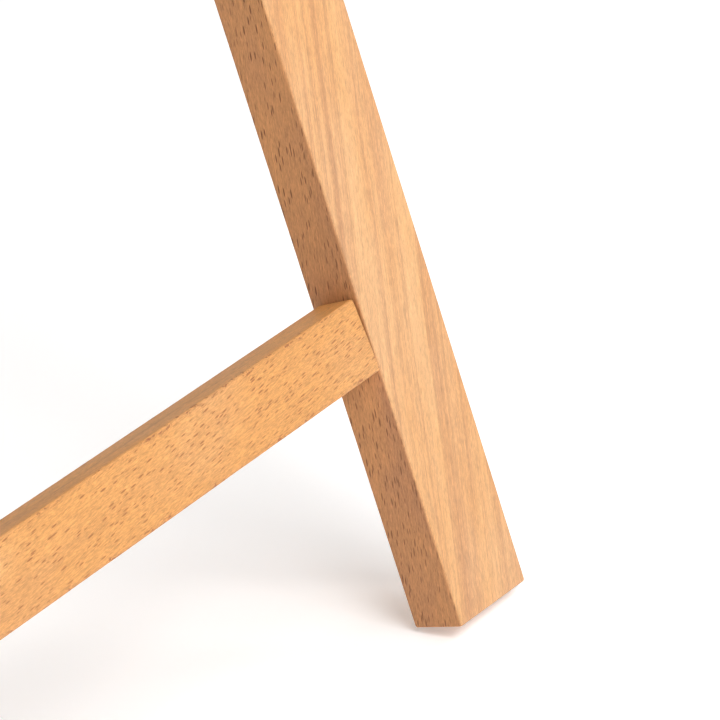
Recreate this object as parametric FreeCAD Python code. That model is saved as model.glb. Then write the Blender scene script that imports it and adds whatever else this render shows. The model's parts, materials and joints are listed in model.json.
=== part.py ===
import FreeCAD, Part
import math
import os
from collections import namedtuple

from FreeCAD import Placement, Rotation, Vector

# A floor easel in beech: a splayed front frame with a slotted mast, a canvas tray and a
# top holder that slide on the mast, and a rear leg that folds on a slotted stay.
#
# Every piece is drawn with the front frame upright: X across the frame, Y back, Z up the
# frame, Y = 0 on the front faces of the front legs. easel() then leans it all back.

# ---- stance, degrees and millimetres ----
LEAN = 15.8                 # front frame back from the vertical
SPLAY = 6.0                 # each front leg from the frame's centre line
OPENING = 27.0              # rear leg from the front frame when it is open
ROUND = 1.0                 # rounded arrises of the wood

# ---- front legs ----
LEG_WIDTH = 48.0
LEG_DEPTH = 18.0
LEG_TOP = 1470.0
FOOT_INNER = 222.0          # inner front corner of a foot from the centre line
FOOT_CUT_ACROSS = 8.6       # foot's cut from square seen from the front, outer end lower
FOOT_CUT_BACK = -3.1        # the same seen from the side, back end higher

# ---- crossbars ----
LOWER_BAR_HEIGHT = 26.0
LOWER_BAR_DEPTH = 13.8
LOWER_BAR_Z = 95.0          # bottom front arris up the frame
LOWER_BAR_PROUD = 0.66      # that arris in front of the legs' faces
LOWER_BAR_TWIST = 4.5       # its section turned, top further back
BAR_DEPTH = 18.0
MIDDLE_BAR = (560.0, 600.0)
STAY_BAR = (930.0, 970.0)
HEAD_BAR = (1380.0, 1440.0)
LEG_SCREW_RISE = 1.0        # a leg screw enters a crossbar this much above its middle line

# ---- mast ----
MAST_WIDTH = 50.0
MAST_DEPTH = 22.0
MAST_ENDS = (540.0, 1740.0)
MAST_SCREW_X = 17.0         # each screw from the mast's centre line
SLOT_WIDTH = 8.6
SLOT_ENDS = (590.0, 1726.0)
CHANNEL_WIDTH = 17.0        # wider back half of the slot, which hides the bolt heads
CHANNEL_DEPTH = 7.0
CHANNEL_PAST_SLOT = 5.0

# ---- rear leg, hinge and stay ----
REAR_WIDTH = 48.0
REAR_DEPTH = 22.0
HINGE_Y = 33.0
HINGE_Z = 1410.0
STAY_Z = 950.0              # pivot of the stay, straight below the hinge
PLATE = 2.5
HINGE_EAR_GAP = 1.0         # each side of the rear leg, filled by a spacer
HINGE_EAR_RADIUS = 12.0
HINGE_BASE_HALF = 26.0      # half the height of the hinge bracket's back plate
HINGE_SCREWS = (14.0, 18.0)  # each screw across and up from the middle of that plate
HINGE_PIN = 8.0
HINGE_BOLT_PAST = 10.0      # shank beyond the bracket on the nut's side
HINGE_HEX = 13.0            # across the flats of bolt head and nut
HINGE_HEAD_HEIGHT = 5.3
HINGE_NUT = (6.0, 2.0, 5.6)  # height of the hexagon, height and radius of its collar
SPACER_RADIUS = 10.0
SPACER_PLAY = 0.1
STAY_WIDTH = 14.0
STAY_X = 26.0               # inner face of a stay bar
STAY_EAR_RADIUS = 9.0
STAY_FLANGE = (20.0, 14.0)  # width and half height of a stay bracket's screwed flange
STAY_SCREWS = (11.0, 7.5)   # its screws across from the ear, and up and down from the pivot
STAY_PIN = 6.0
RIVET_HEADS = ((5.0, 1.0), (5.5, 2.0))  # radius and height, inside and outside
STAY_CAP = (6.0, 6.0, 4.0)  # radius, length and how far the rod goes in
STAY_SLOT_SPARE = 0.3       # each side of the stay rod in the rear leg's slot
RUNNING = 0.05              # radial clearance of a pin that turns in a hole
SNUG = 0.02                 # radial clearance of a hole round something fixed

# ---- tray and top holder, at rest ----
SLIDE_GAP = 0.3             # between the mast and what slides on it
BLOCK_DEPTH = 20.0
GUIDE_DEPTH = 14.0
GUIDE_SCREW_IN = 14.0       # from each end of a tray guide
TRAY_Z = 700.0              # underside of the shelf
TRAY_BLOCK = (90.0, 110.0)  # width and height of the block under the shelf
SHELF = (400.0, 70.0, 15.0)
LIP = (400.0, 12.0, 35.0)
GUSSET = (12.0, 44.0, 66.0)
GUSSET_NOSE = 10.0          # height of a gusset's front end
GUSSET_SCREWS = (30.0, 50.0)
SHELF_SCREWS = (-30.0, 0.0, 30.0)
LIP_SCREWS = (-180.0, -90.0, 0.0, 90.0, 180.0)
TRAY_BOLT_DROP = 52.0       # bolt below the shelf's underside
HOLDER_Z = 1530.0           # top of the holder's ledge
HOLDER_BLOCK = (72.0, 84.0)
LEDGE = (72.0, 64.0, 15.0)
HOLDER_LIP = (72.0, 12.0, 30.0)
LEDGE_SCREWS = (-24.0, 24.0)
HOLDER_LIP_SCREWS = (-22.0, 22.0)
HOLDER_GUIDE_SCREWS = (52.0, 72.0)
HOLDER_BOLT_RISE = 46.0     # bolt above the ledge

# ---- hardware ----
Screw = namedtuple("Screw", "length shank head socket")
Fixing = namedtuple("Fixing", "solids holes")
JOINT_SCREW = Screw(76.0, 6.0, 10.5, 4.0)
MAST_SCREW = Screw(32.0, 4.5, 9.0, 2.5)
PLATE_SCREW = Screw(16.0, 4.0, 8.0, 2.5)
TRAY_SCREW = Screw(34.0, 4.0, 8.0, 2.5)
SOCKET_DEPTH = 1.6
SCREW_RIM = 0.6             # straight rim of a countersunk head
BOLT = 8.0
BOLT_HEAD = 16.0
BOLT_HEAD_HEIGHT = 4.0
BOLT_NECK = 7.8
BOLT_NECK_LENGTH = 6.0
BOLT_HOLE_SPARE = 0.2
BOLT_INTO_KNOB = 18.0
WASHER = (22.0, 8.6, 1.6)
KNOB_RADIUS = 22.0
KNOB_HEIGHT = 26.0
KNOB_HUB = (12.0, 9.0)
KNOB_LOBES = 6
KNOB_SCALLOP = 8.0
KNOB_SCALLOP_OUT = 4.4      # scallop's centre beyond the knob's rim
KNOB_ROUND = 2.5
KNOB_CROWN = 5.0            # plastic left over the end of the bolt
INSERT = (7.0, 14.0)

UP = Vector(0, 0, 1)
BACK = Vector(0, 1, 0)
ACROSS = Vector(1, 0, 0)
HINGE = Vector(0, HINGE_Y, HINGE_Z)
STAY_PIVOT = Vector(0, HINGE_Y, STAY_Z)
STAY_LENGTH = HINGE_Z - STAY_Z
THROUGH = 1.0               # how far a cutting shape passes the face it cuts


def tan(degrees):
    return math.tan(math.radians(degrees))


def sin(degrees):
    return math.sin(math.radians(degrees))


def cos(degrees):
    return math.cos(math.radians(degrees))


# ---- shapes ----

def block(x, y, z):
    """A box from three (low, high) pairs."""
    size = [high - low for low, high in (x, y, z)]
    return Part.makeBox(*size, Vector(x[0], y[0], z[0]))


def rounded(shape, radius=ROUND):
    """The shape with every edge rounded."""
    return shape.makeFillet(radius, shape.Edges)


def wood(x, y, z):
    return rounded(block(x, y, z))


def rod(radius, start, end):
    axis = end - start
    return Part.makeCylinder(radius, axis.Length, start, axis)


def both_sides(shape):
    """The shape and its mirror image across the centre plane."""
    return [shape, shape.mirror(Vector(), ACROSS)]


def slot(width, low, high, y):
    """A round-ended slot through Y, from z = low to z = high."""
    radius = width / 2
    body = block((-radius, radius), y, (low + radius, high - radius))
    caps = [
        rod(radius, Vector(0, y[0], z), Vector(0, y[1], z))
        for z in (low + radius, high - radius)
    ]
    return body.fuse(caps).removeSplitter()


def spun(outline):
    """A solid of revolution about Z from (radius, z) points that start and end on the axis."""
    points = [Vector(radius, 0, z) for radius, z in outline]
    face = Part.Face(Part.makePolygon(points + points[:1]))
    return face.revolve(Vector(), UP, 360)


def prism(sides, across_flats, height):
    """A regular prism on Z, from z = 0 down."""
    radius = across_flats / 2 / math.cos(math.pi / sides)
    corners = [
        Vector(radius * math.cos(turn), radius * math.sin(turn), 0)
        for turn in (2 * math.pi * n / sides for n in range(sides + 1))
    ]
    return Part.Face(Part.makePolygon(corners)).extrude(Vector(0, 0, -height))


def aimed(shape, point, direction):
    """A shape drawn hanging down from the origin, moved to point and turned along direction."""
    moved = shape.copy()
    moved.Placement = Placement(point, Rotation(Vector(0, 0, -1), direction))
    return moved


def screw(size, point, direction):
    """A countersunk screw with its flat at point, and the hole that it needs."""

    def body(spare):
        shank = size.shank / 2 + spare
        head = size.head / 2 + spare
        neck = SCREW_RIM + head - shank
        tip = size.length - size.shank
        outline = [(0, spare), (head, spare), (head, -SCREW_RIM), (shank, -neck)]
        outline += [(shank, -tip), (0, -size.length - spare)]
        return spun(outline)

    solid = body(0).cut(prism(6, size.socket, SOCKET_DEPTH))
    return Fixing([aimed(solid, point, direction)], [aimed(body(RUNNING), point, direction)])


def together(fixings):
    solids = [solid for fixing in fixings for solid in fixing.solids]
    holes = [hole for fixing in fixings for hole in fixing.holes]
    return Fixing(solids, holes)


def drilled(shape, *fixings):
    """The shape with every hole of the fixings that reaches it."""
    holes = [
        hole
        for fixing in fixings
        for hole in fixing.holes
        if hole.BoundBox.intersect(shape.BoundBox)
    ]
    return shape.cut(holes) if holes else shape


# ---- front frame ----

def leg_frame(shape):
    """A shape drawn along an upright right leg, moved to where that leg stands."""
    moved = shape.copy()
    moved.Placement = Placement(Vector(FOOT_INNER, 0, 0), Rotation(BACK, -SPLAY))
    return moved


def leg_blank():
    """The right leg: a straight bar with its foot cut on the skew and its top level."""
    across = Vector(LEG_WIDTH, 0, -LEG_WIDTH * tan(FOOT_CUT_ACROSS))
    back = Vector(0, LEG_DEPTH, -LEG_DEPTH * tan(FOOT_CUT_BACK))
    foot = Part.makePolygon([Vector(), across, across + back, back, Vector()])
    bar = leg_frame(Part.Face(foot).extrude(UP * LEG_TOP * 1.1))
    reach = 2 * FOOT_INNER
    above = block((-reach, reach), (-LEG_DEPTH, 2 * LEG_DEPTH), (LEG_TOP, LEG_TOP * 1.3))
    return rounded(bar.cut(above))


def trimmed(bar):
    """A crossbar cut off at the inner faces of the legs."""
    reach = 2 * LEG_WIDTH
    leg_side = leg_frame(block((0, 2 * reach), (-reach, reach), (-reach, LEG_TOP + reach)))
    return bar.cut(both_sides(leg_side))


def lower_crossbar():
    arris = Vector(-FOOT_INNER, -LOWER_BAR_PROUD, LOWER_BAR_Z)
    rise = Vector(0, sin(LOWER_BAR_TWIST), cos(LOWER_BAR_TWIST)) * LOWER_BAR_HEIGHT
    depth = Vector(0, cos(LOWER_BAR_TWIST), -sin(LOWER_BAR_TWIST)) * LOWER_BAR_DEPTH
    corners = [arris, arris + rise, arris + rise + depth, arris + depth, arris]
    bar = Part.Face(Part.makePolygon(corners)).extrude(ACROSS * 2 * FOOT_INNER)
    return rounded(trimmed(bar)), arris + (rise + depth) / 2


def crossbar(ends):
    bar = block((-FOOT_INNER, FOOT_INNER), (0, BAR_DEPTH), ends)
    return rounded(trimmed(bar))


def leg_screws(y, z):
    """One screw through each leg, square to its outer face, into a crossbar's end."""
    right = Vector(cos(SPLAY), 0, sin(SPLAY))
    inner = Vector(FOOT_INNER - z * tan(SPLAY), y, z)
    outer = inner + right * LEG_WIDTH
    left = Vector(-right.x, 0, right.z)
    mirrored = Vector(-outer.x, outer.y, outer.z)
    return together([screw(JOINT_SCREW, outer, -right), screw(JOINT_SCREW, mirrored, -left)])


def mast():
    low, high = SLOT_ENDS
    front = -MAST_DEPTH
    bar = wood((-MAST_WIDTH / 2, MAST_WIDTH / 2), (front, 0), MAST_ENDS)
    narrow = slot(SLOT_WIDTH, low, high, (front - THROUGH, THROUGH))
    past = CHANNEL_PAST_SLOT
    wide = slot(CHANNEL_WIDTH, low - past, high + past, (-CHANNEL_DEPTH, THROUGH))
    return bar.cut([narrow, wide])


def mast_screws():
    """A pair of screws from the back of each crossbar that carries the mast."""
    return together([
        screw(MAST_SCREW, Vector(side * MAST_SCREW_X, BAR_DEPTH, sum(bar) / 2), -BACK)
        for bar in (MIDDLE_BAR, STAY_BAR, HEAD_BAR)
        for side in (-1, 1)
    ])


# ---- hinge and stay ----

def ear(x, pivot, radius, pin_hole):
    """An upright plate from the crossbar's back out to a rounded end about the pivot."""
    inner, outer = x
    flat = block(x, (BAR_DEPTH, pivot.y), (pivot.z - radius, pivot.z + radius))
    end = rod(radius, Vector(inner, pivot.y, pivot.z), Vector(outer, pivot.y, pivot.z))
    start = Vector(inner - THROUGH, pivot.y, pivot.z)
    hole = rod(pin_hole, start, Vector(outer + THROUGH, pivot.y, pivot.z))
    return flat.fuse(end).cut(hole)


def hinge_bracket():
    inner = REAR_WIDTH / 2 + HINGE_EAR_GAP
    outer = inner + PLATE
    height = (HINGE_Z - HINGE_BASE_HALF, HINGE_Z + HINGE_BASE_HALF)
    base = block((-outer, outer), (BAR_DEPTH, BAR_DEPTH + PLATE), height)
    ears = both_sides(ear((inner, outer), HINGE, HINGE_EAR_RADIUS, HINGE_PIN / 2 + SNUG))
    return base.fuse(ears).removeSplitter()


def hinge_screws():
    across, rise = HINGE_SCREWS
    places = [(x, HINGE_Z + z) for x in (-across, across) for z in (-rise, rise)]
    face = BAR_DEPTH + PLATE
    return together([screw(PLATE_SCREW, Vector(x, face, z), -BACK) for x, z in places])


def hinge_bolt():
    """Hexagon bolt along X with its head on the right."""
    face = REAR_WIDTH / 2 + HINGE_EAR_GAP + PLATE
    shank = rod(HINGE_PIN / 2, HINGE - ACROSS * (face + HINGE_BOLT_PAST), HINGE + ACROSS * face)
    head = aimed(prism(6, HINGE_HEX, HINGE_HEAD_HEIGHT), HINGE + ACROSS * face, ACROSS)
    return shank.fuse(head).removeSplitter()


def hinge_nut():
    face = REAR_WIDTH / 2 + HINGE_EAR_GAP + PLATE
    tall, collar_tall, collar_radius = HINGE_NUT
    start = HINGE - ACROSS * face
    nut = aimed(prism(6, HINGE_HEX, tall), start, -ACROSS)
    top = start - ACROSS * (tall + collar_tall)
    collar = rod(collar_radius, start - ACROSS * tall, top)
    hole = rod(HINGE_PIN / 2 + SNUG, start + ACROSS * THROUGH, top - ACROSS * THROUGH)
    return nut.fuse(collar).cut(hole)


def hinge_spacers():
    start = HINGE + ACROSS * (REAR_WIDTH / 2 + SPACER_PLAY)
    end = HINGE + ACROSS * (REAR_WIDTH / 2 + HINGE_EAR_GAP - SPACER_PLAY)
    hole = rod(HINGE_PIN / 2 + SNUG, start - ACROSS * THROUGH, end + ACROSS * THROUGH)
    return both_sides(rod(SPACER_RADIUS, start, end).cut(hole))


def stay_ear_x():
    inner = STAY_X + PLATE + SLIDE_GAP
    return inner, inner + PLATE


def stay_brackets():
    """Two angle plates on the back of the stay crossbar, outside the stay bars."""
    inner, outer = stay_ear_x()
    wide, half = STAY_FLANGE
    height = (STAY_Z - half, STAY_Z + half)
    flange = block((inner, outer + wide), (BAR_DEPTH, BAR_DEPTH + PLATE), height)
    plate = ear((inner, outer), STAY_PIVOT, STAY_EAR_RADIUS, STAY_PIN / 2 + SNUG)
    return both_sides(flange.fuse(plate).removeSplitter())


def stay_bracket_screws():
    across, rise = STAY_SCREWS
    x = stay_ear_x()[1] + across
    face = BAR_DEPTH + PLATE
    places = [(side * x, STAY_Z + z) for side in (-1, 1) for z in (-rise, rise)]
    return together([screw(PLATE_SCREW, Vector(px, face, z), -BACK) for px, z in places])


def stay_rivets():
    """Headed pins through each bracket and stay bar."""
    (inside_radius, inside_tall), (outside_radius, outside_tall) = RIVET_HEADS
    inner = STAY_PIVOT + ACROSS * (STAY_X - SLIDE_GAP)
    outer = STAY_PIVOT + ACROSS * stay_ear_x()[1]
    start = inner - ACROSS * inside_tall
    end = outer + ACROSS * outside_tall
    pin = rod(STAY_PIN / 2, start, end)
    inside = rod(inside_radius, start, inner)
    outside = rod(outside_radius, outer, end)
    return both_sides(pin.fuse([inside, outside]).removeSplitter())


def swung(shape, pivot, angle):
    """A shape drawn hanging from the origin, hung from the pivot and swung back."""
    moved = shape.copy()
    moved.Placement = Placement(pivot, Rotation(ACROSS, angle))
    return moved


def stay_bar():
    """The right-hand bar, hanging straight down from its pivot."""
    radius = STAY_WIDTH / 2
    x = (STAY_X, STAY_X + PLATE)
    bar = block(x, (-radius, radius), (-STAY_LENGTH, 0))
    ends = [rod(radius, Vector(x[0], 0, z), Vector(x[1], 0, z)) for z in (0, -STAY_LENGTH)]
    start = ACROSS * (x[0] - THROUGH)
    end = ACROSS * (x[1] + THROUGH)
    far = Vector(0, 0, -STAY_LENGTH)
    pivot = rod(STAY_PIN / 2 + RUNNING, start, end)
    rod_hole = rod(STAY_PIN / 2 + SNUG, far + start, far + end)
    return bar.fuse(ends).removeSplitter().cut([pivot, rod_hole])


def stay_rod():
    far = Vector(0, 0, -STAY_LENGTH)
    reach = ACROSS * (STAY_X + PLATE + STAY_CAP[2])
    return rod(STAY_PIN / 2, far - reach, far + reach)


def stay_caps():
    """Push-on caps over the ends of the stay rod."""
    radius, length, inside = STAY_CAP
    start = Vector(STAY_X + PLATE, 0, -STAY_LENGTH)
    cap = rod(radius, start, start + ACROSS * length)
    hole = rod(STAY_PIN / 2 + SNUG, start - ACROSS * THROUGH, start + ACROSS * (inside + SNUG))
    return both_sides(cap.cut(hole))


def rear_leg_length(floor):
    """From the hinge to the foot, so that the foot's front edge is on the floor."""
    half = REAR_DEPTH / 2
    tilt = OPENING - LEAN
    edge_y = HINGE_Y - half * cos(OPENING)
    edge_z = HINGE_Z - half * sin(OPENING)
    reach = edge_z * cos(LEAN) - edge_y * sin(LEAN)
    rounding = ROUND * (sin(tilt) + cos(tilt) - 1)
    return (reach - floor + rounding) / cos(tilt)


def rear_leg(length):
    """Hanging from its hinge, with the slot that the stay rod slides in."""
    half = REAR_DEPTH / 2
    side = REAR_WIDTH / 2
    past = side + THROUGH
    bar = wood((-side, side), (-half, half), (-length, half))
    corner = block((-past, past), (-half - THROUGH, half + THROUGH), (0, half + THROUGH))
    top = rod(half, ACROSS * -side, ACROSS * side)
    bar = bar.cut(corner).fuse(top).removeSplitter()
    width = STAY_PIN / 2 + STAY_SLOT_SPARE
    high = -2 * STAY_LENGTH * cos(OPENING)
    low = -2 * STAY_LENGTH
    opening = block((-past, past), (-width, width), (low, high))
    ends = [rod(width, Vector(-past, 0, z), Vector(past, 0, z)) for z in (low, high)]
    bore = rod(HINGE_PIN / 2 + RUNNING, ACROSS * -past, ACROSS * past)
    return bar.cut([opening.fuse(ends).removeSplitter(), bore])


# ---- what slides on the mast ----

def block_faces():
    """Y of the back and front faces of a sliding block."""
    back = -MAST_DEPTH - SLIDE_GAP
    return back, back - BLOCK_DEPTH


def guides(z, outer):
    """Cleats behind a sliding block, one each side of the mast."""
    back, _ = block_faces()
    inner = MAST_WIDTH / 2 + SLIDE_GAP
    return [wood(x, (back, back + GUIDE_DEPTH), z) for x in ((inner, outer), (-outer, -inner))]


def carriage_bolt(z):
    """Dome head in the mast's channel, square neck in its slot, shank out to the knob."""
    _, front = block_faces()
    seat = -CHANNEL_DEPTH + SLIDE_GAP
    end = front - WASHER[2] - BOLT_INTO_KNOB
    at = Vector(0, seat, z)
    tall = BOLT_HEAD_HEIGHT
    radius = BOLT_HEAD / 2
    dome = [(0, tall), (radius * 0.55, tall * 0.9), (radius * 0.9, tall * 0.5), (radius, 0)]
    head = aimed(spun(dome + [(0, 0)]), at, -BACK)
    half = BOLT_NECK / 2
    neck = block((-half, half), (seat - BOLT_NECK_LENGTH, seat), (z - half, z + half))
    shank = rod(BOLT / 2 - RUNNING, at, Vector(0, end, z))
    return head.fuse([neck, shank]).removeSplitter()


def bolt_hole(z):
    """Hole through a sliding block for its carriage bolt."""
    back, front = block_faces()
    start = Vector(0, back + THROUGH, z)
    return rod(BOLT / 2 + BOLT_HOLE_SPARE, start, Vector(0, front - THROUGH, z))


def washer(z):
    _, front = block_faces()
    outer, inner, thick = WASHER
    start = Vector(0, front, z)
    end = Vector(0, front - thick, z)
    return rod(outer / 2, start, end).cut(rod(inner / 2, start + BACK, end - BACK))


def knob_base(z):
    _, front = block_faces()
    return Vector(0, front - WASHER[2] - SLIDE_GAP, z)


def knob(z):
    """Six-lobed hand knob on a round hub, drawn along -Z and turned to face forward."""
    hub_radius, hub_height = KNOB_HUB
    hub = rod(hub_radius, Vector(), Vector(0, 0, -hub_height))
    grip = rod(KNOB_RADIUS, Vector(0, 0, -hub_height), Vector(0, 0, -KNOB_HEIGHT))
    reach = KNOB_RADIUS + KNOB_SCALLOP_OUT
    turns = [360 / KNOB_LOBES * n for n in range(KNOB_LOBES)]
    centres = [Vector(reach * cos(turn), reach * sin(turn), 0) for turn in turns]
    tall = UP * (KNOB_HEIGHT + THROUGH)
    grip = grip.cut([rod(KNOB_SCALLOP, centre + UP * THROUGH, centre - tall) for centre in centres])
    grip = grip.makeFillet(KNOB_ROUND, grip.Edges)
    pocket = rod(INSERT[0] + SNUG, UP * THROUGH, -UP * (INSERT[1] + SNUG))
    end_room = rod(BOLT / 2 + SLIDE_GAP, Vector(), -UP * (KNOB_HEIGHT - KNOB_CROWN))
    return aimed(grip.fuse(hub).removeSplitter().cut([pocket, end_room]), knob_base(z), -BACK)


def knob_insert(z):
    """Bush in the knob that runs on the bolt."""
    radius, length = INSERT
    bush = rod(radius, Vector(), Vector(0, 0, -length))
    bore = rod(BOLT / 2, UP * THROUGH, -UP * (length + THROUGH))
    return aimed(bush.cut(bore), knob_base(z), -BACK)


def row_of_screws(places, y, z, direction):
    """Tray screws along X."""
    return [screw(TRAY_SCREW, Vector(x, y, z), direction) for x in places]


def guide_screws(half, heights):
    """Screws through a sliding block of half that width into the guides behind it."""
    _, front = block_faces()
    x = (MAST_WIDTH / 2 + half) / 2
    return [fixing for z in heights for fixing in row_of_screws((-x, x), front, z, BACK)]


def gusset_screws(half):
    """Screws through both gussets into the sides of the tray's block."""
    back, _ = block_faces()
    x = half + GUSSET[0]
    return [
        screw(TRAY_SCREW, Vector(side * x, back - BLOCK_DEPTH / 2, TRAY_Z - drop), ACROSS * -side)
        for side in (-1, 1)
        for drop in GUSSET_SCREWS
    ]


def gusset(half):
    """The right-hand bracket under the shelf, beside the block."""
    back, front = block_faces()
    thick, depth, tall = GUSSET
    profile = [(back, 0), (back - depth, 0), (back - depth, -GUSSET_NOSE), (front, -tall), (back, -tall)]
    outline = [Vector(half, y, TRAY_Z + z) for y, z in profile]
    face = Part.Face(Part.makePolygon(outline + outline[:1]))
    return rounded(face.extrude(ACROSS * thick))


def drilled_group(pieces, screws):
    return Part.makeCompound([drilled(piece, screws) for piece in pieces])


def tray():
    """Nodes of the tray."""
    back, front = block_faces()
    middle = back - BLOCK_DEPTH / 2
    half = TRAY_BLOCK[0] / 2
    bottom = TRAY_Z - TRAY_BLOCK[1]
    width, depth, thick = SHELF
    lip_width, lip_depth, lip_tall = LIP
    shelf_front = back - depth
    lip_front = shelf_front - lip_depth
    top = TRAY_Z + thick
    screws = together(
        row_of_screws(SHELF_SCREWS, middle, top, -UP)
        + row_of_screws(LIP_SCREWS, lip_front, TRAY_Z + thick / 2, BACK)
        + guide_screws(half, (bottom + GUIDE_SCREW_IN, TRAY_Z - GUIDE_SCREW_IN))
        + gusset_screws(half)
    )
    bolt_z = TRAY_Z - TRAY_BOLT_DROP
    main = wood((-half, half), (front, back), (bottom, TRAY_Z)).cut(bolt_hole(bolt_z))
    shelf = wood((-width / 2, width / 2), (shelf_front, back), (TRAY_Z, top))
    lip = wood((-lip_width / 2, lip_width / 2), (lip_front, shelf_front), (TRAY_Z, TRAY_Z + lip_tall))
    return {
        "tray_block": drilled(main, screws),
        "tray_shelf": drilled(shelf, screws),
        "tray_lip": drilled(lip, screws),
        "tray_gussets": drilled_group(both_sides(gusset(half)), screws),
        "tray_guides": drilled_group(guides((bottom, TRAY_Z), half), screws),
        "tray_screws": Part.makeCompound(screws.solids),
        "tray_bolt": carriage_bolt(bolt_z),
        "tray_washer": washer(bolt_z),
        "tray_knob": knob(bolt_z),
        "tray_knob_insert": knob_insert(bolt_z),
    }


def holder():
    """Nodes of the top holder."""
    back, front = block_faces()
    middle = back - BLOCK_DEPTH / 2
    half = HOLDER_BLOCK[0] / 2
    height = (HOLDER_Z, HOLDER_Z + HOLDER_BLOCK[1])
    width, depth, thick = LEDGE
    lip_width, lip_depth, lip_tall = HOLDER_LIP
    ledge_front = back - depth
    lip_front = ledge_front - lip_depth
    bottom = HOLDER_Z - thick
    screws = together(
        row_of_screws(LEDGE_SCREWS, middle, bottom, UP)
        + row_of_screws(HOLDER_LIP_SCREWS, lip_front, bottom + thick / 2, BACK)
        + guide_screws(half, [HOLDER_Z + rise for rise in HOLDER_GUIDE_SCREWS])
    )
    bolt_z = HOLDER_Z + HOLDER_BOLT_RISE
    main = wood((-half, half), (front, back), height).cut(bolt_hole(bolt_z))
    ledge = wood((-width / 2, width / 2), (ledge_front, back), (bottom, HOLDER_Z))
    lip_z = (HOLDER_Z - lip_tall, HOLDER_Z)
    lip = wood((-lip_width / 2, lip_width / 2), (lip_front, ledge_front), lip_z)
    return {
        "holder_block": drilled(main, screws),
        "holder_ledge": drilled(ledge, screws),
        "holder_lip": drilled(lip, screws),
        "holder_guides": drilled_group(guides(height, half), screws),
        "holder_screws": Part.makeCompound(screws.solids),
        "holder_bolt": carriage_bolt(bolt_z),
        "holder_washer": washer(bolt_z),
        "holder_knob": knob(bolt_z),
        "holder_knob_insert": knob_insert(bolt_z),
    }


def front_frame():
    """Nodes of the front frame with the mast and the fixed hardware."""
    lower, lower_middle = lower_crossbar()
    ends = [leg_screws(lower_middle.y, lower_middle.z + LEG_SCREW_RISE)]
    for low, high in (MIDDLE_BAR, STAY_BAR, HEAD_BAR):
        heights = (low + (high - low) / 4, high - (high - low) / 4)
        ends += [leg_screws(BAR_DEPTH / 2, z + LEG_SCREW_RISE) for z in heights]
    leg_fixings = together(ends)
    mast_fixings = mast_screws()
    hinge_fixings = hinge_screws()
    stay_fixings = stay_bracket_screws()
    right, left = both_sides(leg_blank())
    return {
        "right_front_leg": drilled(right, leg_fixings),
        "left_front_leg": drilled(left, leg_fixings),
        "lower_crossbar": drilled(lower, leg_fixings),
        "middle_crossbar": drilled(crossbar(MIDDLE_BAR), leg_fixings, mast_fixings),
        "stay_crossbar": drilled(crossbar(STAY_BAR), leg_fixings, mast_fixings, stay_fixings),
        "head_crossbar": drilled(crossbar(HEAD_BAR), leg_fixings, mast_fixings, hinge_fixings),
        "leg_joint_screws": Part.makeCompound(leg_fixings.solids),
        "mast": drilled(mast(), mast_fixings),
        "mast_screws": Part.makeCompound(mast_fixings.solids),
        "hinge_bracket": drilled(hinge_bracket(), hinge_fixings),
        "hinge_bracket_screws": Part.makeCompound(hinge_fixings.solids),
        "hinge_bolt": hinge_bolt(),
        "hinge_nut": hinge_nut(),
        "hinge_spacers": Part.makeCompound(hinge_spacers()),
        "stay_brackets": drilled_group(stay_brackets(), stay_fixings),
        "stay_bracket_screws": Part.makeCompound(stay_fixings.solids),
        "stay_rivets": Part.makeCompound(stay_rivets()),
    }


def stay():
    """Nodes of the stay, swung out to where it holds the rear leg open."""
    right, left = both_sides(stay_bar())
    shapes = {
        "stay_bar_right": right,
        "stay_bar_left": left,
        "stay_rod": stay_rod(),
        "stay_rod_caps": Part.makeCompound(stay_caps()),
    }
    return {name: swung(shape, STAY_PIVOT, 2 * OPENING) for name, shape in shapes.items()}


def leaned(shape):
    moved = shape.copy()
    moved.Placement = Placement(Vector(), Rotation(ACROSS, -LEAN)) * moved.Placement
    return moved


def easel():
    """Every node, standing on the floor with the middle of its box over the origin."""
    nodes = front_frame()
    floor = leaned(nodes["right_front_leg"]).BoundBox.ZMin
    nodes["rear_leg"] = swung(rear_leg(rear_leg_length(floor)), HINGE, OPENING)
    nodes.update(stay())
    nodes.update(tray())
    nodes.update(holder())
    nodes = {name: leaned(shape) for name, shape in nodes.items()}
    low = min(shape.BoundBox.YMin for shape in nodes.values())
    high = max(shape.BoundBox.YMax for shape in nodes.values())
    shift = Vector(0, -(low + high) / 2, -floor)
    for shape in nodes.values():
        shape.translate(shift)
    return nodes, shift


os.makedirs("parts", exist_ok=True)
pieces, moved_by = easel()
for name, shape in pieces.items():
    shape.exportStep(f"parts/{name}.step")
print("origin shift", moved_by)
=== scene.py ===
import json
import math

import bmesh
import bpy
from mathutils import Matrix, Vector, noise

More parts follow.
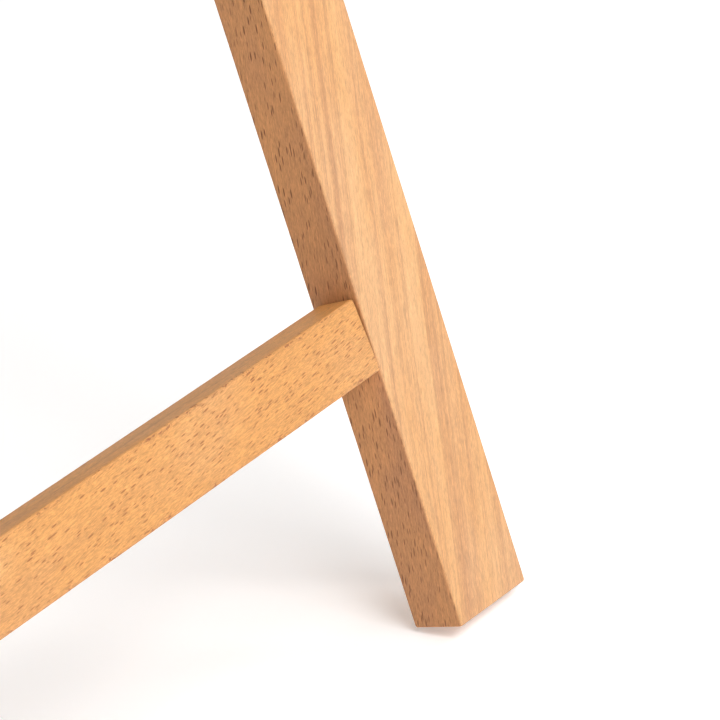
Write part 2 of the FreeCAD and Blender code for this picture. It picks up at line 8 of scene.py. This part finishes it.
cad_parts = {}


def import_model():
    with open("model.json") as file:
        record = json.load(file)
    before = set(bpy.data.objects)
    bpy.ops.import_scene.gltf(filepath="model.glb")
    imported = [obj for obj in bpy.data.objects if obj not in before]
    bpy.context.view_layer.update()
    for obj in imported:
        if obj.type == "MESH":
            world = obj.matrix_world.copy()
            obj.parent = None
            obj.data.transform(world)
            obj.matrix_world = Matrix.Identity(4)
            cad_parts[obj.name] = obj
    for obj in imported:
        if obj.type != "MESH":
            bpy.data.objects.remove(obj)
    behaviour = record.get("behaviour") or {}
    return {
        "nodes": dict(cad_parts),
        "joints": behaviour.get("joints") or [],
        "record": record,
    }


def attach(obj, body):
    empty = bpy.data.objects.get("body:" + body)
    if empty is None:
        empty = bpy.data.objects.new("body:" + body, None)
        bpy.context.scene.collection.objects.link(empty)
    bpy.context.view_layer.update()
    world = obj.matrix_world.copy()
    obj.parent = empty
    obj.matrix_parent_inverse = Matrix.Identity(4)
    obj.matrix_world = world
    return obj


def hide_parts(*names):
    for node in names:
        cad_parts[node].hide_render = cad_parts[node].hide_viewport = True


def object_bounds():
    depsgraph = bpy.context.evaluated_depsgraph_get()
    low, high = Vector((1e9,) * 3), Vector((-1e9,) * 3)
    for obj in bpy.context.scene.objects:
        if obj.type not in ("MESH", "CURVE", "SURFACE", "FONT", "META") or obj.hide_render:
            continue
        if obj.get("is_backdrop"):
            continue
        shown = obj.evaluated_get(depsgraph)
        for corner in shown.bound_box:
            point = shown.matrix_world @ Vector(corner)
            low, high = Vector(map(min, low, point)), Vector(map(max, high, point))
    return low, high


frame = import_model()
cad_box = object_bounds()

# A folding beech easel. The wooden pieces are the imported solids, welded, divided and worn, and
# they carry their own grain coordinates. Steel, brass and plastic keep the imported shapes.

MM = 0.001
PER_METRE = 1000            # millimetres
JOINTS = {joint["name"]: joint for joint in frame["joints"]}

# ---- directions of the easel, at rest ----
X = Vector((1, 0, 0))
UP_FRAME = Vector(JOINTS["tray_slide"]["axis"])
INTO_FRAME = UP_FRAME.cross(X).normalized()
OPENING = math.radians(JOINTS["rear_leg_fold"]["range_deg"][1])
SPLAY = math.radians(6.0)
BAR_TWIST = math.radians(4.5)

# ---- camera ----
FOOT_CORNER = Vector((0.2220, -0.34679, 0.00585))
CAMERA_TURN = math.radians(-62.6)
CAMERA_RISE = math.radians(21.378)
CAMERA_REACH = 1.476
CAMERA_PAN = -0.03416
CAMERA_LIFT = 0.08945
SENSOR = 36.0
LENS = 220.7

# ---- lights ----
LIT = Vector((0, 0, 0.5))
LIGHT_REACH = 3.2
LIGHTS = (                  # name, turn and rise in degrees, size in metres, watts
    ("key_low", -38, 34, 1.2, 25),
    ("key_high", -38, 55, 1.2, 23),
    ("key_near", -20, 40, 1.2, 20),
    ("fill_front", 5, 35, 1.8, 34),
    ("fill_right", 60, 35, 1.8, 35),
    ("fill_back", 150, 45, 2.4, 12),
)

# ---- floor and backdrop ----
FLOOR_HALF = 60.0
FLOOR_LIGHT = (0.90, 0.90, 0.90, 1)
FLOOR_LIGHTER = (0.92, 0.92, 0.92, 1)
GLOW_REACH = (1.2, 3.4)     # the floor's own glow grows between these distances
GLOW = (0.33, 0.95)
HORIZON = (0.08, 0.22)      # the backdrop darkens between these heights of the view direction
BACKDROP = (0.8, 0.02)


def back_from(turn, rise):
    """Direction towards a viewer who has walked round by turn and climbed by rise."""
    level = math.cos(rise)
    return Vector((math.sin(turn) * level, -math.cos(turn) * level, math.sin(rise)))


def turned(vector, axis, angle):
    return Matrix.Rotation(angle, 3, axis) @ vector


# ---- node helpers ----

class Tree:
    """Short names for building a shader."""

    FACTOR, FIRST, SECOND, MIXED = 0, 6, 7, 2   # a colour Mix node's sockets

    def __init__(self, tree):
        self.tree = tree

    def node(self, kind, **settings):
        made = self.tree.nodes.new(kind)
        for name, value in settings.items():
            setattr(made, name, value)
        return made

    def join(self, source, target):
        self.tree.links.new(source, target)

    def feed(self, socket, value):
        if isinstance(value, bpy.types.NodeSocket):
            self.join(value, socket)
        else:
            socket.default_value = value

    def math(self, operation, a, b=0.0, clamp=False):
        made = self.node("ShaderNodeMath", operation=operation, use_clamp=clamp)
        self.feed(made.inputs[0], a)
        self.feed(made.inputs[1], b)
        return made.outputs[0]

    def vector(self, operation, a, b):
        made = self.node("ShaderNodeVectorMath", operation=operation)
        self.feed(made.inputs[0], a)
        self.feed(made.inputs[1], b)
        return made.outputs["Vector"]

    def length(self, vector):
        made = self.node("ShaderNodeVectorMath", operation="LENGTH")
        self.feed(made.inputs[0], vector)
        return made.outputs["Value"]

    def scaled(self, vector, factor):
        made = self.node("ShaderNodeVectorMath", operation="SCALE")
        self.feed(made.inputs[0], vector)
        self.feed(made.inputs["Scale"], factor)
        return made.outputs["Vector"]

    def mix(self, factor, a, b):
        made = self.node("ShaderNodeMix", data_type="RGBA")
        self.feed(made.inputs[self.FACTOR], factor)
        self.feed(made.inputs[self.FIRST], a)
        self.feed(made.inputs[self.SECOND], b)
        return made.outputs[self.MIXED]

    def span(self, value, low, high, to_low=0.0, to_high=1.0, smooth=True):
        """Maps low to high onto to_low to to_high, and holds what is beyond."""
        kind = "SMOOTHSTEP" if smooth else "LINEAR"
        made = self.node("ShaderNodeMapRange", interpolation_type=kind, clamp=True)
        for index, number in enumerate((value, low, high, to_low, to_high)):
            self.feed(made.inputs[index], number)
        return made.outputs[0]

    def noise(self, vector, scale=1.0, detail=2.0, rough=0.5):
        made = self.node("ShaderNodeTexNoise")
        self.feed(made.inputs["Vector"], vector)
        made.inputs["Scale"].default_value = scale
        made.inputs["Detail"].default_value = detail
        made.inputs["Roughness"].default_value = rough
        return made.outputs["Fac"], made.outputs["Color"]

    def cells(self, vector):
        made = self.node("ShaderNodeTexVoronoi", feature="F1")
        self.feed(made.inputs["Vector"], vector)
        made.inputs["Scale"].default_value = 1.0
        return made.outputs["Distance"], made.outputs["Color"]

    def parts(self, vector):
        made = self.node("ShaderNodeSeparateXYZ")
        self.feed(made.inputs[0], vector)
        return made.outputs

    def attribute(self, name):
        return self.node("ShaderNodeAttribute", attribute_name=name).outputs

    def relief(self, shader, height, strength, distance):
        """Bumps a shader by a height."""
        bump = self.node("ShaderNodeBump")
        bump.inputs["Strength"].default_value = strength
        bump.inputs["Distance"].default_value = distance
        self.join(height, bump.inputs["Height"])
        self.join(bump.outputs[0], shader.inputs["Normal"])


def material(name):
    made = bpy.data.materials.new(name)
    made.use_nodes = True
    tree = Tree(made.node_tree)
    return made, tree, made.node_tree.nodes["Principled BSDF"]


# ---- oiled beech ----
# Grain coordinates are in millimetres: along the rings, across them and along the grain.

PALE = (0.790, 0.452, 0.214, 1)
PINK = (0.610, 0.320, 0.158, 1)
ORANGE = (0.705, 0.330, 0.100, 1)
RING = (0.440, 0.200, 0.085, 1)
# the colour that faces across the rings are darkened towards: painted shading, partly the darker
# flecked wood of those faces
TANGENT_PAINTED_SHADE = (0.400, 0.176, 0.086, 1)
FLECK = (0.130, 0.045, 0.018, 1)
FLECK_PALE = (0.330, 0.100, 0.026, 1)
END = (0.360, 0.165, 0.070, 1)
WORN = (0.330, 0.110, 0.040, 1)

DRIFT = (0.02, 0.02, 0.006)     # frequencies per millimetre of each part of the figure
BAND = (0.035, 0.13, 0.0035)
LINE = (0.06, 0.40, 0.004)
CLOUD = (0.03, 0.03, 0.011)
FIBRE = (2.1, 2.1, 0.13)
HAIR = (4.5, 4.5, 0.45)
GRIT = (2.8, 2.8, 1.1)
MOTTLE = (0.28, 0.28, 0.14)
CHIPS = (0.60, 0.60, 0.25)
SWAY = (10.0, 10.0, 0.0)        # how far the drift bends the grain

BOLD = ((0.95, 10.0, 6.4), 0.24, 0.12)   # cell of a fleck, its radius in the cell and the spread
SMALL = ((0.60, 8.0, 5.0), 0.16, 0.14)
BOLD_SHARE, SMALL_SHARE = 0.96, 0.45     # how much of the colour they take
CRISP = 0.55                    # how much of a fleck's radius is fully dark
FAINTEST = 0.45                 # darkness of the faintest fleck
END_SHARE = 0.75

# Each of these is where a ramp starts and ends, and what it gives there if that isn't 0 and 1.
ACROSS = (0.35, 0.95)           # how squarely a face cuts the rings
END_ON = (0.55, 0.90)           # how squarely it cuts the grain
FLECKS_ACROSS = (0.0, 1.0, 0.10, 1.0)
FLECKS_SHADED = (0.0, 1.0, 0.80, 1.0)
CHIPPED = (0.57, 0.65, 0.05, 0.90)
BANDED = (0.36, 0.68)
CLOUDED = (0.36, 0.66, 0.0, 0.40)
RINGED = (0.55, 0.66)
RINGS_ACROSS = (0.0, 1.0, 0.32, 0.10)
MIDDLE = (0.25, 0.75)           # where most of a noise lies
ROUGH = (0.2, 0.8, 0.44, 0.60)
ROUGH_END = 0.15                # added on the ends
SHEEN = 0.35


def flecks(tree, grain, cell, radius, spread):
    """Cut ends of the rays: thin lens shapes along the grain, of random size and darkness."""
    distance, colour = tree.cells(tree.vector("DIVIDE", grain, cell))
    chances = tree.parts(colour)
    size = tree.span(chances[0], 0.0, 1.0, radius, radius + spread, smooth=False)
    inner = tree.math("MULTIPLY", size, CRISP)
    mask = tree.span(distance, inner, size, 1.0, 0.0)
    darkness = tree.span(chances[1], 0.0, 1.0, FAINTEST, 1.0, smooth=False)
    return tree.math("MULTIPLY", mask, darkness)


def beech():
    """Bands and rings on the quarter faces, flecks on the faces across them."""
    made, tree, shader = material("oiled_beech")
    grain = tree.attribute("grain")["Vector"]
    facing = tree.parts(tree.attribute("facing")["Vector"])
    wear = tree.attribute("wear")["Fac"]
    tone = tree.attribute("tone")["Fac"]
    painted_shade_and_flecks = tree.attribute("painted_shade_and_flecks")["Fac"]

    def figure(place, frequency, detail, rough=0.5):
        return tree.noise(tree.vector("MULTIPLY", place, frequency), detail=detail, rough=rough)[0]

    drift = tree.noise(tree.vector("MULTIPLY", grain, DRIFT), detail=2)[1]
    drift = tree.vector("SUBTRACT", drift, (0.5, 0.5, 0.5))
    wavy = tree.vector("ADD", grain, tree.vector("MULTIPLY", drift, SWAY))

    band = figure(wavy, BAND, 3, 0.6)
    line = figure(wavy, LINE, 2)
    cloud = figure(grain, CLOUD, 3)
    fibre = figure(grain, FIBRE, 3, 0.7)
    hair = figure(grain, HAIR, 2, 0.7)
    grit = figure(grain, GRIT, 2, 0.6)
    mottle = figure(grain, MOTTLE, 3, 0.6)
    chips = figure(grain, CHIPS, 3, 0.7)

    across = tree.span(facing[1], *ACROSS)
    end = tree.span(facing[2], *END_ON)
    side = tree.math("SUBTRACT", 1.0, end)
    shown = tree.math("MULTIPLY", tree.span(across, *FLECKS_ACROSS, smooth=False), side)
    marked = tree.math("MULTIPLY", shown, tree.span(painted_shade_and_flecks, *FLECKS_SHADED, smooth=False))
    bold = tree.math("MULTIPLY", flecks(tree, wavy, *BOLD), marked)
    small = tree.math("MULTIPLY", flecks(tree, wavy, *SMALL), marked)
    worn = tree.math("MULTIPLY", wear, tree.span(chips, *CHIPPED))

    colour = tree.mix(tree.span(band, *BANDED), PALE, PINK)
    # Faces across the rings are painted darker by each piece's value: painted shading where the
    # lamps leave a face too light, and partly the darker flecked wood.
    colour = tree.mix(tree.math("MULTIPLY", across, painted_shade_and_flecks), colour, TANGENT_PAINTED_SHADE)
    warm = tree.math("ADD", tree.span(cloud, *CLOUDED), tone, clamp=True)
    colour = tree.mix(warm, colour, ORANGE)
    ring_depth = tree.span(across, *RINGS_ACROSS, smooth=False)
    rings = tree.math("MULTIPLY", tree.span(line, *RINGED), ring_depth)
    colour = tree.mix(rings, colour, RING)
    for value, dark, light in (
        (fibre, 0.78, 1.18),
        (hair, 0.72, 1.24),
        (grit, 0.95, 1.05),
        (mottle, 0.95, 1.05),
    ):
        colour = tree.scaled(colour, tree.span(value, *MIDDLE, dark, light, smooth=False))
    colour = tree.mix(tree.math("MULTIPLY", end, END_SHARE), colour, END)
    # Flecks take a darker colour where more painted shading is given, and a paler one on the lit
    # crossbar.
    fleck = tree.mix(painted_shade_and_flecks, FLECK_PALE, FLECK)
    colour = tree.mix(tree.math("MULTIPLY", bold, BOLD_SHARE), colour, fleck)
    colour = tree.mix(tree.math("MULTIPLY", small, SMALL_SHARE), colour, fleck)
    colour = tree.mix(worn, colour, WORN)
    tree.join(colour, shader.inputs["Base Color"])

    rough = tree.span(fibre, *ROUGH, smooth=False)
    rough = tree.math("ADD", rough, tree.math("MULTIPLY", end, ROUGH_END))
    tree.join(rough, shader.inputs["Roughness"])
    shader.inputs["Specular IOR Level"].default_value = SHEEN

    # heights in millimetres
    height = tree.math("ADD", tree.math("MULTIPLY", fibre, 0.08), tree.math("MULTIPLY", hair, 0.05))
    for value, depth in ((bold, 0.07), (small, 0.04), (worn, 0.10)):
        height = tree.math("SUBTRACT", height, tree.math("MULTIPLY", value, depth))
    tree.relief(shader, height, 0.6, MM)
    return made


# ---- steel, brass and plastic ----
# Frequencies are per millimetre.

TARNISH, SCRATCH, SPECK = 0.12, 4.0, 1.6
SCRATCHED = (0.5, 0.5, 0.5)     # stretches the scratches
TARNISHED = (0.35, 0.68)
SPECKED = (0.60, 0.74, 0.0, 0.45)
PEBBLE, FLOW = 3.2, 0.09
FLOWED = (0.35, 0.7)
PEBBLED = (0.3, 0.7)


def object_millimetres(tree):
    coordinates = tree.node("ShaderNodeTexCoord").outputs["Object"]
    return tree.vector("MULTIPLY", coordinates, (PER_METRE,) * 3)


def metal(name, light, dark, rough):
    """Plated or turned metal: cloudy colour, fine scratches and uneven polish."""
    made, tree, shader = material(name)
    place = object_millimetres(tree)
    cloud = tree.noise(place, TARNISH, detail=4, rough=0.6)[0]
    grain = tree.noise(tree.vector("MULTIPLY", place, SCRATCHED), SCRATCH, detail=3, rough=0.7)[0]
    speck = tree.noise(place, SPECK, detail=4, rough=0.7)[0]
    colour = tree.mix(tree.span(cloud, *TARNISHED), light, dark)
    colour = tree.mix(tree.span(speck, *SPECKED), colour, dark)
    tree.join(colour, shader.inputs["Base Color"])
    shader.inputs["Metallic"].default_value = 1.0
    tree.join(tree.span(grain, *MIDDLE, *rough, smooth=False), shader.inputs["Roughness"])
    tree.relief(shader, grain, 0.18, 0.3 * MM)
    return made


def plastic(name, light, dark, rough):
    """Moulded plastic with a fine spark-eroded texture and slightly polished high spots."""
    made, tree, shader = material(name)
    place = object_millimetres(tree)
    pebble = tree.noise(place, PEBBLE, detail=4, rough=0.65)[0]
    cloud = tree.noise(place, FLOW, detail=3)[0]
    colour = tree.mix(tree.span(cloud, *FLOWED), light, dark)
    tree.join(colour, shader.inputs["Base Color"])
    tree.join(tree.span(pebble, *PEBBLED, *rough, smooth=False), shader.inputs["Roughness"])
    tree.relief(shader, pebble, 0.35, 0.25 * MM)
    return made


# ---- wooden pieces ----

ARRIS = 1.0 * MM            # worn band beside each arris
SUPPORT = 2.2 * MM          # loops that bound it
STEP = 12.0 * MM            # loops along a piece
END_BAND = 4.5 * MM         # what moves when an end is drawn back
HAND = 0.06 * MM            # how far the planed faces wander
DENT = 0.14 * MM            # deepest dent in an arris
WANDERS = 0.012             # how often the faces wander, per millimetre
DENTS = 0.09                # how often an arris could be dented, per millimetre
UNDENTED = 0.12             # noise below this leaves the arris whole
WELD = 2e-6                 # packed vertices nearer than this are one
ON_LOOP = 1e-7              # vertices nearer than this are on a loop
FLAT = math.radians(0.3)    # packed facets that turn by less are one face
SHARP = math.radians(38)    # arrises that turn by more are shaded sharp
LOG_STRIDE = (37.7, 91.3, 173.9)    # from one seed's place in the log to the next, in millimetres
LOG_SIZE = (211, 307, 1009)


def cut_along(work, axis, places):
    """Adds a loop across the mesh at each place along the axis."""
    for place in places:
        everything = work.verts[:] + work.edges[:] + work.faces[:]
        bmesh.ops.bisect_plane(
            work, geom=everything, dist=ON_LOOP, plane_co=axis * place, plane_no=axis
        )


def islands(work):
    """Groups of connected vertices."""
    left = set(work.verts)
    while left:
        seed = min(left, key=lambda vertex: vertex.index)
        group, edge = {seed}, [seed]
        while edge:
            vertex = edge.pop()
            for link in vertex.link_edges:
                other = link.other_vert(vertex)
                if other not in group:
                    group.add(other)
                    edge.append(other)
        left -= group
        yield group


def extents(group, axes):
    """Lowest and highest place of the vertices along each axis."""
    reach = [[vertex.co.dot(axis) for vertex in group] for axis in axes]
    return [(min(places), max(places)) for places in reach]


def grain_axes(along, depth, turn):
    """Directions along the rings, across them and along the grain."""
    ring = turned(depth, along, turn)
    ring = (ring - along * ring.dot(along)).normalized()
    return ring.cross(along), ring, along


def divided(node, axes):
    """The node's mesh with its facets joined, then cut by loops beside its arrises and along it."""
    work = bmesh.new()
    work.from_mesh(frame["nodes"][node].data)
    bmesh.ops.remove_doubles(work, verts=work.verts, dist=WELD)
    bmesh.ops.dissolve_limit(work, angle_limit=FLAT, verts=work.verts, edges=work.edges)
    work.verts.index_update()
    spans = [extents(group, axes) for group in islands(work)]
    for number, axis in enumerate(axes):
        places = set()
        for span in spans:
            low, high = span[number]
            places |= {round(low + SUPPORT, 6), round(high - SUPPORT, 6)}
            if axis is axes[-1]:
                count = int((high - low) / STEP)
                places |= {round(low + (high - low) * n / count, 6) for n in range(1, count)}
        cut_along(work, axis, sorted(places))
    work.verts.index_update()
    return work


def weathered(work, axes, offset, tone, painted_shade_and_flecks, wear, gap):
    """Dents the arrises, lets the faces wander and notes the wear, the tone and the painted shading
    with its flecks.
    """
    length = axes[-1]
    wear_layer = work.verts.layers.float.new("wear")
    tone_layer = work.verts.layers.float.new("tone")
    painted_shade_layer = work.verts.layers.float.new("painted_shade_and_flecks")
    work.normal_update()
    moves = {}
    for group in islands(work):
        spans = extents(group, axes)
        low, high = spans[-1]
        for vertex in group:
            co = vertex.co
            gaps = sorted(
                min(co.dot(axis) - first, last - co.dot(axis))
                for axis, (first, last) in zip(axes, spans)
            )
            edge = max(0.0, min(1.0, (SUPPORT - gaps[1]) / (SUPPORT - ARRIS)))
            vertex[wear_layer] = edge * wear
            vertex[tone_layer] = tone
            vertex[painted_shade_layer] = painted_shade_and_flecks
            spot = co * PER_METRE + offset
            sway = 0.5 + 0.5 * noise.noise(spot * WANDERS)
            dent = max(0.0, noise.noise(spot * DENTS) - UNDENTED) * edge
            moves[vertex] = -vertex.normal * (HAND * sway + DENT * dent)
            if min(co.dot(length) - low, high - co.dot(length)) < END_BAND:
                moves[vertex] -= length * math.copysign(gap, co.dot(length) - (low + high) / 2)
    for vertex, move in moves.items():
        vertex.co += move


def grained(mesh, axes, offset, turn, skew):
    """Notes each corner's place in the grain, and how each face lies in it."""
    width, depth, length = axes
    broad = grain_axes((length + width * skew[0]).normalized(), depth, turn)
    narrow = grain_axes((length + depth * skew[1]).normalized(), depth, turn)
    facing = mesh.attributes.new("facing", "FLOAT_VECTOR", "FACE")
    grain = mesh.attributes.new("grain", "FLOAT_VECTOR", "CORNER")
    for face, slot in zip(mesh.polygons, facing.data):
        sideways = abs(face.normal.dot(width)) > abs(face.normal.dot(depth))
        chosen = narrow if sideways else broad
        slot.vector = [abs(face.normal.dot(axis)) for axis in chosen]
        for corner in face.loop_indices:
            place = mesh.vertices[mesh.loops[corner].vertex_index].co * PER_METRE
            grain.data[corner].vector = Vector([place.dot(axis) for axis in chosen]) + offset


def timber(node, body, axes, seed, tone=0.0, turn=0.0, skew=(0.0, 0.0),
           painted_shade_and_flecks=0.25, wear=0.5, gap=0.0):
    """A wooden node as a divided, slightly worn mesh with grain coordinates.

    axes are its width, depth and length directions. turn rolls the growth rings about the
    length, and skew leans the grain off the length, towards width on the broad faces and towards
    depth on the narrow ones. tone is how orange the wood is, painted_shade_and_flecks how much
    darker its faces across the rings are painted, partly painted shading for a face the lamps leave
    too light and partly its darker flecks, wear how marked its arrises are, and gap how far its
    ends stand off.
    """
    offset = Vector([seed * stride % size for stride, size in zip(LOG_STRIDE, LOG_SIZE)])
    work = divided(node, axes)
    weathered(work, axes, offset, tone, painted_shade_and_flecks, wear, gap)
    mesh = bpy.data.meshes.new(f"{node}_wood")
    work.to_mesh(mesh)
    work.free()
    mesh.shade_smooth()
    mesh.set_sharp_from_angle(angle=SHARP)
    grained(mesh, axes, offset, turn, skew)
    mesh.materials.append(BEECH)
    piece = bpy.data.objects.new(f"{node}_wood", mesh)
    bpy.context.scene.collection.objects.link(piece)
    smooth = piece.modifiers.new("even_normals", "WEIGHTED_NORMAL")
    smooth.keep_sharp = True
    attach(piece, body)
    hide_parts(node)


BEECH = beech()
QUARTER = math.radians(90)
STANDING = (X, INTO_FRAME, UP_FRAME)    # width, depth and length of a piece
LYING = (UP_FRAME, INTO_FRAME, X)
SHELF = (INTO_FRAME, UP_FRAME, X)


def leg_axes(side):
    length = (UP_FRAME * math.cos(SPLAY) - X * side * math.sin(SPLAY)).normalized()
    width = (X * side * math.cos(SPLAY) + UP_FRAME * math.sin(SPLAY)).normalized()
    return width, INTO_FRAME, length


def lower_bar_axes():
    rise = UP_FRAME * math.cos(BAR_TWIST) + INTO_FRAME * math.sin(BAR_TWIST)
    depth = INTO_FRAME * math.cos(BAR_TWIST) - UP_FRAME * math.sin(BAR_TWIST)
    return rise, depth, X


def rear_axes():
    length = UP_FRAME * math.cos(OPENING) - INTO_FRAME * math.sin(OPENING)
    depth = INTO_FRAME * math.cos(OPENING) + UP_FRAME * math.sin(OPENING)
    return X, depth, length


# The right front leg gets the most painted shading on its faces across the rings, and the lower
# crossbar the least.
timber("right_front_leg", "front_frame", leg_axes(1), 3, tone=0.06, turn=QUARTER - 0.15,
       skew=(0.36, -0.17), painted_shade_and_flecks=0.92, wear=0.15)
timber("left_front_leg", "front_frame", leg_axes(-1), 8, tone=0.05, turn=0.35, skew=(0.02, 0.01))
timber("lower_crossbar", "front_frame", lower_bar_axes(), 5, tone=0.58, turn=0.2,
       skew=(0.08, 0.0), painted_shade_and_flecks=0.10, wear=1.0, gap=0.25 * MM)
timber("middle_crossbar", "front_frame", LYING, 11, tone=0.22, turn=0.9)
timber("stay_crossbar", "front_frame", LYING, 14, tone=0.12, turn=0.3)
timber("head_crossbar", "front_frame", LYING, 17, tone=0.30, turn=1.2)
timber("mast", "front_frame", STANDING, 21, tone=0.05, turn=0.5)
timber("rear_leg", "rear_leg", rear_axes(), 24, tone=0.18, turn=1.3, skew=(0.02, 0.0))
timber("tray_block", "tray", STANDING, 27, tone=0.25, turn=0.1)
timber("tray_shelf", "tray", SHELF, 31, tone=0.10, turn=0.2, skew=(0.03, 0.0))
timber("tray_lip", "tray", LYING, 34, tone=0.15, turn=0.4)
timber("tray_gussets", "tray", STANDING, 37, tone=0.2, turn=0.7)
timber("tray_guides", "tray", STANDING, 41, tone=0.15, turn=0.9)
timber("holder_block", "top_holder", STANDING, 44, tone=0.12, turn=0.2)
timber("holder_ledge", "top_holder", SHELF, 47, tone=0.20, turn=0.3)
timber("holder_lip", "top_holder", LYING, 51, tone=0.10, turn=0.5)
timber("holder_guides", "top_holder", STANDING, 54, tone=0.18, turn=0.8)

# ---- hardware: light colour, dark colour and range of roughness of each finish ----

FINISHES = {name: make(name, *look) for name, make, *look in (
    ("zinc_steel", metal, (0.62, 0.63, 0.65, 1), (0.42, 0.43, 0.45, 1), (0.26, 0.42)),
    ("zinc_screws", metal, (0.60, 0.61, 0.62, 1), (0.38, 0.38, 0.40, 1), (0.24, 0.38)),
    ("insert_brass", metal, (0.72, 0.50, 0.20, 1), (0.48, 0.32, 0.12, 1), (0.22, 0.36)),
    ("knob_plastic", plastic, (0.020, 0.020, 0.021, 1), (0.034, 0.033, 0.032, 1), (0.36, 0.55)),
    ("spacer_plastic", plastic, (0.030, 0.030, 0.032, 1), (0.045, 0.045, 0.046, 1), (0.40, 0.55)),
)}
for part in frame["record"]["subparts"]:
    finish = FINISHES.get(part["material_slot"])
    if finish:
        frame["nodes"][part["node"]].material_slots[0].material = finish


# ---- floor, light and camera ----

def floor():
    """A pale floor. Its own glow bleaches it, and keeps it white far from the lights."""
    made, tree, shader = material("studio_floor")
    place = tree.node("ShaderNodeTexCoord").outputs["Object"]
    cloud = tree.noise(place, 0.7, detail=3)[0]
    tree.join(tree.mix(cloud, FLOOR_LIGHT, FLOOR_LIGHTER), shader.inputs["Base Color"])
    shader.inputs["Roughness"].default_value = 0.9
    shader.inputs["Specular IOR Level"].default_value = 0.1
    shader.inputs["Emission Color"].default_value = (1, 1, 1, 1)
    glow = tree.span(tree.length(place), *GLOW_REACH, *GLOW)
    tree.join(glow, shader.inputs["Emission Strength"])
    mesh = bpy.data.meshes.new("studio_floor")
    corners = [(-1, -1), (1, -1), (1, 1), (-1, 1)]
    mesh.from_pydata([(x * FLOOR_HALF, y * FLOOR_HALF, 0) for x, y in corners], [], [(0, 1, 2, 3)])
    mesh.materials.append(made)
    plane = bpy.data.objects.new("studio_floor", mesh)
    bpy.context.scene.collection.objects.link(plane)
    plane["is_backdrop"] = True


def world():
    """White round the horizon, dark overhead."""
    made = bpy.data.worlds.new("studio")
    made.use_nodes = True
    tree = Tree(made.node_tree)
    direction = tree.node("ShaderNodeTexCoord").outputs["Generated"]
    height = tree.parts(direction)[2]
    level = tree.span(height, *HORIZON, *BACKDROP)
    background = made.node_tree.nodes["Background"]
    tree.join(level, background.inputs["Strength"])
    background.inputs["Color"].default_value = (1, 1, 1, 1)
    bpy.context.scene.world = made


def softbox(name, turn, rise, size, power):
    """A square area light aimed at the easel, placed by a turn and rise like the camera's."""
    light = bpy.data.lights.new(name, "AREA")
    light.shape = "SQUARE"
    light.size = size
    light.energy = power
    lamp = bpy.data.objects.new(name, light)
    back = back_from(turn, rise)
    lamp.location = LIT + back * LIGHT_REACH
    lamp.rotation_euler = back.to_track_quat("Z", "Y").to_euler()
    lamp.visible_camera = False
    bpy.context.scene.collection.objects.link(lamp)


def camera():
    """Looks at the right leg's foot from the left front and above, as the picture does."""
    lens = bpy.data.cameras.new("camera")
    lens.sensor_width = SENSOR
    lens.lens = LENS
    lens.clip_end = 100.0
    eye = bpy.data.objects.new("camera", lens)
    back = back_from(CAMERA_TURN, CAMERA_RISE)
    right = Vector((0, 0, 1)).cross(back).normalized()
    up = back.cross(right)
    eye.location = FOOT_CORNER + back * CAMERA_REACH + right * CAMERA_PAN + up * CAMERA_LIFT
    eye.rotation_euler = Matrix((right, up, back)).transposed().to_euler()
    bpy.context.scene.collection.objects.link(eye)
    bpy.context.scene.camera = eye


floor()
world()
for name, turn, rise, size, power in LIGHTS:
    softbox(name, math.radians(turn), math.radians(rise), size, power)
camera()
bpy.context.scene.view_settings.view_transform = "Standard"

boxes = [[list(corner) for corner in box] for box in (cad_box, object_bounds())]
